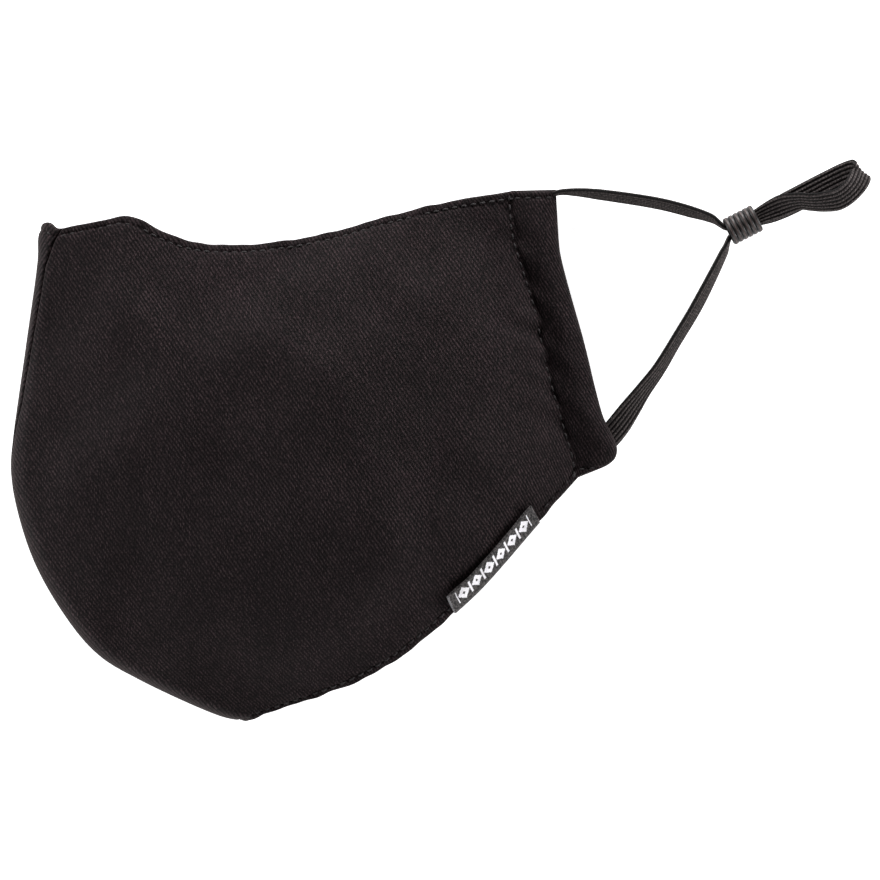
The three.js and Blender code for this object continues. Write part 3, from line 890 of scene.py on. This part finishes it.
@dataclass
class Panel:
    """One half of the mask's cloth, from the centre seam to the stitch line of its side hem."""

    form: MaskForm
    half: Half
    hem_line: float = 1.9
    side_line: float = 1.2
    hem_depth: float = 0.38
    hole_radius: float = 0.3
    roll: float = 0.03
    side_dip: float = 0.25
    stitch_pitch: float = 2.0
    stitch_length: float = 1.35
    thread: float = 0.2
    pucker: float = 0.2
    # Depth, wavelength and seed of each layer of soft lumps
    lumps: tuple = ((0.34, 30, 3), (0.13, 13, 4))
    columns: tuple[int, int] = (14, 226)
    rows: tuple[int, int] = (20, 130)

    @property
    def sign(self) -> int:
        """Plus for the upper panel's girth, minus for the lower panel's."""
        return 1 if self.half is Half.LEFT else -1

    def girth(self, along: Array, up: Array) -> Array:
        """Girth at a share of the way from the seam to the stitch line."""
        return lerp(self.form.seam_girth(up), self.sign * self.form.girth_across(1.0, up), along)

    def pattern(self, middle: Array, girth: Array) -> Array:
        """Place on the flat cloth: the plan, unrolled round the fold and stretched where the cloth dips."""
        turn = np.minimum(np.abs(girth) / self.form.fold_radius, math.pi / 2)
        excess = self.form.fold_radius * (math.pi / 2 - turn - np.cos(turn))
        x = middle[..., 0] - excess
        y = middle[..., 1]
        low = np.maximum(-22 - y, 0)
        far = np.maximum(x - 36, 0)
        return np.stack([self.sign * (x + 0.012 * far**2), y - 0.009 * low**2 + 0.0035 * far**2], axis=-1)

    def relief(self, middle: Array, distances: dict[str, Array], along_hem: Array) -> Array:
        """Soft lumps and puckers: slow noise all over, short waves that fade from the sewn edges."""
        border, hem_fade, side_fade, slant = 5, 3.4, 4.5, 0.35
        slow = sum(
            depth * smooth_noise(middle[..., :2], wavelength, seed)
            for depth, wavelength, seed in self.lumps
        )
        inside = 1 - np.exp(-np.minimum.reduce(list(distances.values())) / border)
        near_hem = sum(np.exp(-distances[name] / hem_fade) for name in ("top", "bottom"))
        waves = smooth_noise(along_hem[..., None], 6.5, 5) * near_hem
        slanted = middle[..., 1:2] + slant * middle[..., :1]
        gathered = smooth_noise(slanted, 7.5, 6) * np.exp(-distances["stitch"] / side_fade)
        return slow * inside + self.pucker * (0.6 * waves + gathered)

    def build(self) -> bpy.types.Object:
        """Builds the panel as one closed shell of outer and inner face."""
        fine, coarse = self.columns
        along, up = np.meshgrid(
            edge_spaced(110, fine, coarse, 3.2), edge_spaced(100, self.rows[0], self.rows[1], 3.2)
        )
        girth = self.girth(along, up)
        middle = self.form.middle(girth, up)
        run, climb = along_grid(middle, 1), along_grid(middle, 0)
        distances = {
            "seam": run,
            "stitch": run[:, -1:] - run,
            "bottom": climb,
            "top": climb[-1:] - climb,
        }
        normal = grid_normals(middle) * self.sign
        bulge = self.relief(middle, distances, run)
        if self.half is Half.RIGHT:
            bulge = -np.abs(bulge) * 0.5 * np.clip((girth + self.form.quarter) / -8, 0, 1)
        else:
            bulge = bulge - self.side_dip * np.exp(-((distances["stitch"] / 2.8) ** 2))
        middle = middle + normal * bulge[..., None]
        rounding = {"seam": 0.55, "stitch": 0.9, "bottom": 0.6, "top": 0.6}
        full = np.ones_like(girth)
        for name, reach in rounding.items():
            full = full * np.sqrt(1 - (1 - np.clip(distances[name] / reach, 0, 1)) ** 2)
        rolled = self.roll * (hump(distances["top"], 0.7, 0.5) + hump(distances["bottom"], 0.7, 0.5))
        thickness = (self.form.cloth / 2 + rolled) * full
        groove = self.groove(distances, along, up)
        pattern = self.pattern(middle, girth)
        outer = middle + normal * (thickness - groove * full)[..., None]
        inner = middle - normal * (thickness - 0.35 * groove * full)[..., None]
        name = f"{self.half.value}_cloth"
        return mesh_piece(name, [Patch(outer, pattern), Patch(inner[:, ::-1], pattern[:, ::-1])])

    def groove(self, distances: dict[str, Array], along: Array, up: Array) -> Array:
        """Depth of the sewn lines: a narrow trough one hem width in, deeper at each needle hole."""
        depth = np.zeros_like(along)
        for edge, share in (("top", along), ("bottom", along), ("stitch", up)):
            stitch = share * self.form.edges[edge].length / self.stitch_pitch - 0.25
            away = np.abs(stitch - np.round(stitch)) * self.stitch_pitch
            holes = 0.5 + 0.5 * hump(away, 0, self.hole_radius)
            inset = self.side_line if edge == "stitch" else self.hem_line
            depth += self.hem_depth * holes * hump(distances[edge], inset, 0.3)
        return np.minimum(depth, self.hem_depth)

    def stitches(self) -> bpy.types.Object:
        """Builds the stitches of the top hem, the bottom hem and the side hem's seam."""
        runs = []
        for edge in ("top", "bottom", "stitch"):
            length = self.form.edges[edge].length
            place = np.arange(self.stitch_pitch * 0.75, length - 0.6, self.stitch_pitch) / length
            runs.append(self._line(edge, place))
        middles, ways, normals = (np.concatenate(parts) for parts in zip(*runs))
        patch = thread_stitches(middles, ways, normals, self.stitch_length, self.thread)
        return mesh_piece(f"{self.half.value}_stitching", [patch])

    def _line(self, edge: str, place: Array) -> tuple[Array, Array, Array]:
        """Middles, directions and normals of the stitches along an edge."""
        step, sunk = 0.004, 0.6
        middle, normal = self._sewn(edge, place)
        way = unit(self._sewn(edge, place + step)[0] - self._sewn(edge, place - step)[0])
        lift = self.form.cloth / 2 - self.hem_depth * sunk
        return middle + normal * lift, way, normal

    def _sewn(self, edge: str, share: Array) -> tuple[Array, Array]:
        """Middle and normal of the cloth at shares of a sewn line, a hem's width inside its edge."""
        dome_length, lift_length = 14, 1.0
        if edge == "stitch":
            up = share
            along = 1 - self.side_line / (self.form.row_length(up) + lift_length)
        else:
            along = share
            low, high = (self.form.plan(share, np.full_like(share, end)) for end in (0, 1))
            inset = self.hem_line / (np.linalg.norm(high - low, axis=-1) + dome_length)
            up = 1 - inset if edge == "top" else inset
        girth = self.girth(along, up)
        return self.form.middle(girth, up), self.form.outward(girth, up)


@dataclass
class SideHem:
    """The stuffed channel at the ear, between the stitch line and the mask's outer edge."""

    form: MaskForm
    half: Half
    squareness: float = 0.7
    pinch: float = 1.6
    pinch_depth: float = 0.2
    end_fill: float = 0.6
    end_taper: float = 14
    end_round: float = 0.9
    valley: float = 0.66
    valley_reach: float = 0.6
    tucked: float = 0.08
    thread: float = 0.2
    stitch_pitch: float = 2.0
    stitch_length: float = 1.45
    rows: int = 190
    around: int = 72

    def surface(self, turn: Array, up: Array) -> tuple[Array, Array]:
        """Points of the channel and their places on the flat cloth.

        The section is a circle drawn out to the local width and blunted by a power, so that its
        faces are flatter than an ellipse. It stays thin in a valley along the stitch line, and it
        thins to a sewn edge at both ends.
        """
        inner, outer = self.form.edges["stitch"].at(up), self.form.edges["side"].at(up)
        length = self.form.edges["stitch"].length
        ends = np.minimum(up, 1 - up) * length
        full = lerp(self.end_fill, 1.0, np.clip(ends / self.end_taper, 0, 1) ** 0.7)
        full = full * np.sqrt(1 - (1 - np.clip(ends / self.end_round, 0, 1)) ** 2)
        full = full * (1 - self.pinch_depth * hump(ends, self.pinch, 0.4))
        blunt_across = np.sign(np.cos(turn)) * np.abs(np.cos(turn)) ** self.squareness
        blunt_up = np.sign(np.sin(turn)) * np.abs(np.sin(turn)) ** self.squareness
        across = lerp(-self.tucked, 1.0, (1 + blunt_across) / 2)
        plan = inner + (outer - inner) * across[..., None]
        filled = lerp(self.valley, 1.0, ease(across / self.valley_reach))
        pleat = 0.16 * smooth_noise(np.stack([up * length + 5 * across], -1), 6.0, 9) * np.exp(-across * 3)
        pleat = pleat + 0.12 * smooth_noise(plan, 11, 10)
        rise = (blunt_up * filled * self.form.hem_thickness / 2 + pleat * np.abs(blunt_up)) * full
        level = self.form.hem_level(self.half)
        if self.half is Half.RIGHT:
            rise = np.maximum(rise, -level)
        points = np.concatenate([plan, (level + rise)[..., None]], axis=-1)
        slope = 2.2 * np.abs(blunt_up - 1) * np.where(np.cos(turn) > 0, 1, -1)
        pattern = np.stack([plan[..., 0] * 1.02 + slope, plan[..., 1]], axis=-1)
        if self.half is Half.RIGHT:
            pattern[..., 0] *= -1
        return points, pattern

    def build(self) -> bpy.types.Object:
        """Builds the channel as one closed tube."""
        shares = edge_spaced(self.form.edges["stitch"].length, 14, self.rows - 28, 2.5)
        turn, up = np.meshgrid(np.linspace(0, 2 * np.pi, self.around + 1), shares)
        points, pattern = self.surface(turn, up)
        return mesh_piece(f"{self.half.value}_side_casing", [Patch(points, pattern)])

    def stitches(self) -> bpy.types.Object:
        """Builds the few stitches that carry the hem lines across both ends of the channel."""
        length = self.form.edges["stitch"].length
        first, last = 1.2, 0.8
        parts = []
        for up_share in (self.pinch / length, 1 - self.pinch / length):
            outer, inner = (self.form.edges[name].at(up_share) for name in ("side", "stitch"))
            width = np.linalg.norm(outer - inner)
            across = np.arange(first, width - last, self.stitch_pitch) / width
            ups = np.full_like(across, up_share)
            middle = self._top(across, ups)
            way = unit(self._top(across + 0.02, ups) - self._top(across - 0.02, ups))
            normal = np.broadcast_to((0.0, 0.0, 1.0 if self.half is Half.LEFT else -1.0), middle.shape)
            parts.append((middle, way, normal))
        middles, ways, normals = (np.concatenate(p) for p in zip(*parts))
        patch = thread_stitches(middles, ways, normals, self.stitch_length, self.thread)
        return mesh_piece(f"{self.half.value}_casing_stitching", [patch])

    def _top(self, across: Array, up: Array) -> Array:
        """Points of the channel's outward face at shares of its width."""
        blunt = np.clip(2 * across - 1, -0.999, 0.999)
        cosine = np.sign(blunt) * np.abs(blunt) ** (1 / self.squareness)
        turn = np.arccos(cosine) * (1 if self.half is Half.LEFT else -1)
        return self.surface(turn, up)[0]


# Rows of the ear loop's route, in metres: x, y, height of the left loop, height of the right one,
# then the way the band's width points (heading and lean in degrees) and its share of full width
LOOP_ROUTE = np.array([
    (0.0465, 0.0524, 0.0075, 0.0023, 120, 84, 0.5),
    (0.0503, 0.0539, 0.0076, 0.0024, 95, 84, 0.56),
    (0.0538, 0.0540, 0.0079, 0.0026, 88, 80, 0.88),
    (0.0590, 0.0535, 0.0081, 0.00275, 86, 73, 1),
    (0.0713, 0.0516, 0.0084, 0.0028, 82, 70, 1),
    (0.0775, 0.0500, 0.0087, 0.0028, 80, 71, 1),
    (0.0821, 0.0485, 0.0090, 0.00285, 80, 78, 0.9),
    (0.0851, 0.0466, 0.00915, 0.00295, 117, 90, 0.5),
    (0.0872, 0.0471, 0.00883, 0.00262, 117, 60, 0.6),
    (0.0892, 0.0480, 0.00859, 0.00239, 117, 30, 0.68),
    (0.0913, 0.0487, 0.0085, 0.0023, 117, 0, 0.68),
    (0.0944, 0.0500, 0.0085, 0.0022, 116, 0, 0.9),
    (0.0983, 0.0519, 0.0084, 0.0019, 115, 0, 1),
    (0.1060, 0.0559, 0.0085, 0.0019, 116, 0, 1),
    (0.1095, 0.0576, 0.0088, 0.0022, 122, 0, 1),
    (0.1116, 0.0583, 0.0093, 0.0027, 130, 0, 1),
    (0.1126, 0.0580, 0.0103, 0.0036, 134, 4, 1),
    (0.1123, 0.0567, 0.0112, 0.0043, 132, 14, 1),
    (0.1107, 0.0544, 0.0122, 0.0049, 126, 28, 1),
    (0.1081, 0.0525, 0.0128, 0.0051, 119, 30, 1),
    (0.1054, 0.0520, 0.0129, 0.0051, 115, 36, 1),
    (0.1027, 0.0519, 0.0125, 0.0050, 110, 46, 1),
    (0.1000, 0.0521, 0.0118, 0.0048, 110, 48, 1),
    (0.0975, 0.0516, 0.0109, 0.0044, 112, 34, 1),
    (0.0951, 0.0506, 0.0102, 0.0040, 116, 14, 0.9),
    (0.0913, 0.0487, 0.0098, 0.0036, 117, 0, 0.68),
    (0.0895, 0.0474, 0.00971, 0.00351, 117, 30, 0.68),
    (0.0877, 0.0461, 0.00947, 0.00328, 117, 60, 0.6),
    (0.0859, 0.0449, 0.00915, 0.00295, 117, 90, 0.5),
    (0.0845, 0.0416, 0.0090, 0.00285, 145, 76, 0.9),
    (0.0788, 0.0303, 0.0084, 0.0028, 151, 67, 1),
    (0.0746, 0.0233, 0.0082, 0.0028, 151, 67, 1),
    (0.0711, 0.0175, 0.0080, 0.0027, 151, 62, 1),
    (0.0678, 0.0130, 0.0078, 0.0025, 150, 52, 1),
    (0.0652, 0.0093, 0.0076, 0.0024, 149, 34, 1),
    (0.0625, 0.0055, 0.0075, 0.0023, 148, 16, 1),
    (0.0598, 0.0023, 0.0075, 0.0023, 138, 0, 0.9),
    (0.0579, 0.0010, 0.0075, 0.0023, 125, 0, 0.8),
])
HEIGHT_COLUMN = {Half.LEFT: 2, Half.RIGHT: 3}
POSTURE_COLUMNS = slice(4, 7)


@dataclass
class EarLoop:
    """A flat ribbed elastic that leaves its side hem, doubles back through the slider and returns."""

    half: Half
    width: float = 5.0
    thickness: float = 1.2
    squeezed: float = 1.0
    sewn_share: float = 0.6
    sewn_length: float = 2.0
    spread_length: float = 2.5
    ribs: int = 6
    rib_depth: float = 0.42
    steps: int = 620
    around: int = 96

    def route(self) -> Array:
        """Points of the loop's middle line, in metres."""
        return LOOP_ROUTE[:, [0, 1, HEIGHT_COLUMN[self.half]]]

    def line(self, count: int) -> Array:
        """The smooth middle line, in metres."""
        return catmull_rom(self.route(), np.linspace(0, 1, count))

    def build(self) -> bpy.types.Object:
        """Builds the band as a section carried along the route.

        The section is a rounded rectangle whose thickness swings with the ribs: the distance from
        the band's middle line to its face is the half thickness less a rib depth times the dip of a
        cosine across the width, and it closes in a round edge.
        """
        share = np.linspace(0, 1, self.steps)
        line = catmull_rom(self.route(), share) / MM
        posture = catmull_rom(LOOP_ROUTE[:, POSTURE_COLUMNS], share)
        heading, lean = np.radians(posture[:, 0]), np.radians(posture[:, 1])
        tangent = unit(np.gradient(line, axis=0))
        level_part = np.cos(lean)[:, None] * np.column_stack([np.cos(heading), np.sin(heading)])
        wide = np.column_stack([level_part, np.sin(lean)])
        wide = unit(wide - (wide * tangent).sum(axis=1, keepdims=True) * tangent)
        face = np.cross(wide, tangent)
        full = posture[:, 2]
        sewn_in = np.linalg.norm(line - line[0], axis=1)
        full = full * lerp(self.sewn_share, 1.0, ease((sewn_in - self.sewn_length) / self.spread_length))
        squeeze = np.minimum((1 - full) / (1 - LOOP_ROUTE[:, -1].min()), 1)
        half_width = self.width * full / 2
        half_thick = lerp(self.thickness, self.squeezed, squeeze) / 2
        across, level = self.section()
        points = (
            line[:, None]
            + wide[:, None] * (half_width[:, None] * across)[..., None]
            + face[:, None] * (half_thick[:, None] * level)[..., None]
        )
        travel = np.concatenate([[0], np.cumsum(np.linalg.norm(np.diff(line, axis=0), axis=1))])
        pattern = np.stack(np.broadcast_arrays(across[None] * self.width / 2, travel[:, None]), axis=-1)
        caps = [self._cap(points[0], pattern[0]), self._cap(points[-1], pattern[-1])]
        return mesh_piece(f"{self.half.value}_elastic", [Patch(points, pattern), *caps])

    def section(self) -> tuple[Array, Array]:
        """Shares of half width and half thickness round the section, with ribs on both faces."""
        turn = np.linspace(0, 2 * np.pi, self.around + 1)
        across = np.sign(np.cos(turn)) * np.abs(np.cos(turn)) ** 0.85
        flat = np.abs(np.sin(turn)) ** 0.42
        dip = 0.5 - 0.5 * np.cos(2 * np.pi * self.ribs * across / 2 + (0 if self.ribs % 2 else np.pi))
        return across, np.sign(np.sin(turn)) * flat * (1 - self.rib_depth * dip)

    @staticmethod
    def _cap(ring: Array, pattern: Array) -> Patch:
        """Flat end of the band: its outline drawn in to its middle."""
        middle = ring[:-1].mean(axis=0)
        shares = np.linspace(1, 0, 3)[:, None, None]
        places = np.broadcast_to(pattern, (len(shares), *pattern.shape))
        return Patch(middle + (ring - middle)[None] * shares, places)


@dataclass
class Slider:
    """Ribbed rubber tube that holds the two passes of an ear loop together."""

    half: Half
    length: float = 6.6
    diameter: float = 5.9
    bore: float = 4.4
    rings: int = 6
    groove: float = 0.5
    heading: float = 27.1
    passes: tuple[int, ...] = (7, 10, 25, 28)

    def build(self) -> bpy.types.Object:
        """Builds the tube by turning its profile about the axis.

        Along the tube each ring is a round bead: its radius falls from the crest with the square
        root of a circle's equation and rounds over at both ends.
        """
        middle = EarLoop(self.half).route()[list(self.passes)].mean(axis=0) / MM
        along = np.linspace(-1, 1, self.rings * 16 + 1)
        phase = (along + 1) / 2 * self.rings
        bead = np.sqrt(np.maximum(1 - (2 * (phase % 1) - 1) ** 2, 0)) ** 0.9
        outer = self.diameter / 2 - self.groove * (1 - bead)
        inner_along = np.linspace(1, -1, 24)
        flare = 0.28 * np.abs(inner_along) ** 12
        reach = np.concatenate([along, inner_along, along[:1]]) * self.length / 2
        radius = np.concatenate([outer, self.bore / 2 + flare, outer[:1]])
        turn = np.linspace(0, 2 * np.pi, 97)
        axis = np.array([math.cos(math.radians(self.heading)), math.sin(math.radians(self.heading)), 0])
        side = np.array([-axis[1], axis[0], 0])
        ring = side[None] * np.cos(turn)[:, None] + np.array([0, 0, 1.0])[None] * np.sin(turn)[:, None]
        points = middle + axis * reach[:, None, None] + ring[None] * radius[:, None, None]
        places = (turn[None] * self.diameter / 2, (reach + self.length / 2)[:, None])
        pattern = np.stack(np.broadcast_arrays(*places), axis=-1)
        return mesh_piece(f"{self.half.value}_slider", [Patch(points, pattern)])


@dataclass
class EdgeLabel:
    """A folded satin ribbon sewn over the lower hem."""

    form: MaskForm
    length: float = 25.8
    depth: float = 4.1
    thickness: float = 0.38
    from_chin: float = 61.8
    heading: float = 122.0
    lift: float = 0.25
    tuck: float = 2.4
    bend: float = 0.8

    def build(self) -> bpy.types.Object:
        """Builds the ribbon: flat on the cloth, round the hem's edge and a little way under it.

        A point's place is its distance along the hem and its distance inward from the edge. The
        ribbon's free edge lifts a little off the cloth and its ends curl up slightly.
        """
        hem = self.form.edges["bottom"]
        share = np.linspace(-0.5, 0.5, 120)
        depth = np.linspace(self.depth, self.bend, 30)
        travel, inward = np.meshgrid(share * self.length, depth)
        middle, normal = self._cloth(travel, inward, hem.length)
        loose = ease((inward - self.bend) / 2)
        free = 0.3 * ((inward - self.bend) / (self.depth - self.bend)) ** 3
        ends = 0.3 * np.abs(travel / (self.length / 2)) ** 14
        wave = 0.16 * smooth_noise(np.stack([travel, inward], -1), 7, 21)
        height = self.form.cloth / 2 + self.lift + free + (ends + wave) * loose
        base = middle + normal * height[..., None]
        edge = self._round_edge(travel[0], hem.length)
        line = np.concatenate([base[:-1], edge], axis=0)
        out = grid_normals(line)
        out = out * np.sign((out[:1] * normal[:1]).sum(axis=-1, keepdims=True))
        bead = np.ones(line.shape[:2])
        run = along_grid(line, 0)
        for distance in (run, run[-1:] - run):
            bead = bead * np.sqrt(1 - (1 - np.clip(distance / 0.28, 0, 1)) ** 2)
        sides = np.minimum(travel[0] + self.length / 2, self.length / 2 - travel[0])
        bead = bead * np.sqrt(1 - (1 - np.clip(sides / 0.2, 0, 1)) ** 2)[None]
        places = ((travel[0] + self.length / 2)[None], self.depth - run)
        pattern = np.stack(np.broadcast_arrays(*places), axis=-1)
        top = line + out * (self.thickness * bead)[..., None]
        return mesh_piece("hem_label", [Patch(top, pattern), Patch(line[:, ::-1], pattern[:, ::-1])])

    def _cloth(self, travel: Array, inward: Array, hem_length: float) -> tuple[Array, Array]:
        """Middle and normal of the cloth at distances along the hem and inward from it."""
        share = (self.from_chin + travel) / hem_length
        step = 0.01
        base = self.form.plan(share, np.zeros_like(share))
        along = (self.form.plan(share + step, np.zeros_like(share)) - base) / step
        rising = (self.form.plan(share, np.full_like(share, step)) - base) / step
        angle = math.radians(self.heading)
        reach = inward[..., None] * (math.cos(angle), math.sin(angle))
        area = along[..., 0] * rising[..., 1] - along[..., 1] * rising[..., 0]
        across = share + (reach[..., 0] * rising[..., 1] - reach[..., 1] * rising[..., 0]) / area
        up = (along[..., 0] * reach[..., 1] - along[..., 1] * reach[..., 0]) / area
        girth = self.form.girth_across(across, up)
        return self.form.middle(girth, up), self.form.outward(girth, up)

    def _round_edge(self, travel: Array, hem_length: float) -> Array:
        """The ribbon's line round the hem's edge: a half ellipse, then a short way back under it."""
        middle, normal = self._cloth(travel, np.full_like(travel, self.bend), hem_length)
        angle = math.radians(self.heading)
        out = np.broadcast_to((-math.cos(angle), -math.sin(angle), 0.0), middle.shape)
        out = unit(out - (out * normal).sum(axis=-1, keepdims=True) * normal)
        radius = self.form.cloth / 2 + self.lift
        turn = np.linspace(np.pi / 2, -np.pi / 2, 22)[:, None, None]
        bend = middle + out * np.cos(turn) * self.bend + normal * np.sin(turn) * radius
        back = np.linspace(0.1, self.tuck, 12)[:, None, None]
        return np.concatenate([bend, middle - normal * radius - out * back])


# Studio


@dataclass
class Studio:
    """Camera straight above with a long lens, pale floor and soft lights.

    Camera and lights are placed in metres, the floor in millimetres. The scale is the photo's
    pixels to a millimetre and the origin the pixel where the frame's own origin shows.
    """

    scale: float = 4.85
    image: int = 880
    origin: tuple[float, float] = (314.0, 454.0)
    distance: float = 3.0
    focus_level: float = 0.006
    sensor: float = 36.0
    world: float = 0.23
    floor_reach: float = 900
    floor_level: float = -0.15
    # Name, place, side and watts of each light
    lamps: tuple = (
        ("key_softbox", (0.1, 0.9, 0.21), 0.38, 18.0),
        ("left_softbox", (-0.9, 0.1, 0.14), 0.26, 9.0),
        ("right_softbox", (0.9, 0.05, 0.16), 0.28, 10.0),
        ("chin_softbox", (-0.1, -0.9, 0.14), 0.26, 6.5),
    )

    def camera(self) -> None:
        """Places the camera so that a millimetre is the photo's number of pixels."""
        span = self.image / self.scale * MM
        data = bpy.data.cameras.new("above")
        data.sensor_width = self.sensor
        data.lens = self.sensor * self.distance / span
        data.clip_start, data.clip_end = 0.01, 10
        middle = self.image / 2
        camera = bpy.data.objects.new("above", data)
        camera.location = (
            (middle - self.origin[0]) / self.scale * MM,
            (self.origin[1] - middle) / self.scale * MM,
            self.distance + self.focus_level,
        )
        bpy.context.scene.collection.objects.link(camera)
        bpy.context.scene.camera = camera

    def light(self, name: str, place: tuple[float, float, float], size: float, power: float) -> None:
        """Adds a soft square light that faces the mask."""
        data = bpy.data.lights.new(name, "AREA")
        data.shape, data.size, data.energy = "SQUARE", size, power
        lamp = bpy.data.objects.new(name, data)
        lamp.location = place
        aim = Vector((0.02, 0.0, 0.0)) - Vector(place)
        lamp.rotation_euler = aim.to_track_quat("-Z", "Y").to_euler()
        bpy.context.scene.collection.objects.link(lamp)

    def dress(self) -> None:
        """Adds the floor, the lights and the pale surroundings."""
        world = bpy.data.worlds.new("studio")
        world.use_nodes = True
        back = world.node_tree.nodes["Background"]
        back.inputs["Color"].default_value = (1, 1, 1, 1)
        back.inputs["Strength"].default_value = self.world
        bpy.context.scene.world = world
        bpy.context.scene.view_settings.view_transform = "Standard"
        for lamp in self.lamps:
            self.light(*lamp)
        line = np.linspace(-self.floor_reach, self.floor_reach, 3)
        grid = np.stack(np.meshgrid(line, line), axis=-1)
        points = np.concatenate([grid, np.full(grid.shape[:2] + (1,), self.floor_level)], axis=-1)
        floor = mesh_piece("floor", [Patch(points, grid)])
        floor.data.materials.append(FloorFinish().material())


def dress(
    piece: bpy.types.Object, material: bpy.types.Material, slot: str, *nodes: str
) -> bpy.types.Object:
    """Gives a piece its material, body and the frame nodes that it stands for."""
    piece.data.materials.append(material)
    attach(piece, "root")
    if nodes:
        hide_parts(*nodes)
    LOG.info("%s: %d faces", piece.name, len(piece.data.polygons))
    return piece


def main() -> None:
    """Builds the studio, the loops, the cloth and the label, and logs each piece's number of faces."""
    logging.basicConfig(level=logging.INFO, format="%(name)s %(message)s")
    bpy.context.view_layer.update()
    studio = Studio()
    studio.camera()
    effects = Effects()
    elastic, rubber = ElasticFinish().material(effects), RubberFinish().material(effects)
    for half in Half:
        loop = EarLoop(half)
        slider = dress(Slider(half).build(), rubber, "slider_rubber", f"{half.value}_cord_slider")
        band = dress(loop.build(), elastic, "elastic", f"{half.value}_ear_loop")
        line = loop.line(400)
    form = MaskForm()
    twill, thread = TwillFinish().material(effects), ThreadFinish().material(effects)
    for half in Half:
        panel, hem = Panel(form, half), SideHem(form, half)
        cloth = dress(panel.build(), twill, "twill", f"{half.value}_panel")
        casing = dress(hem.build(), twill, "twill", f"{half.value}_side_hem")
        sewing = [dress(part.stitches(), thread, "twill") for part in (panel, hem)]
    dress(EdgeLabel(form).build(), LabelFinish().material(effects), "label_weave", "edge_label")
    studio.dress()


if __name__ == "__main__":
    main()
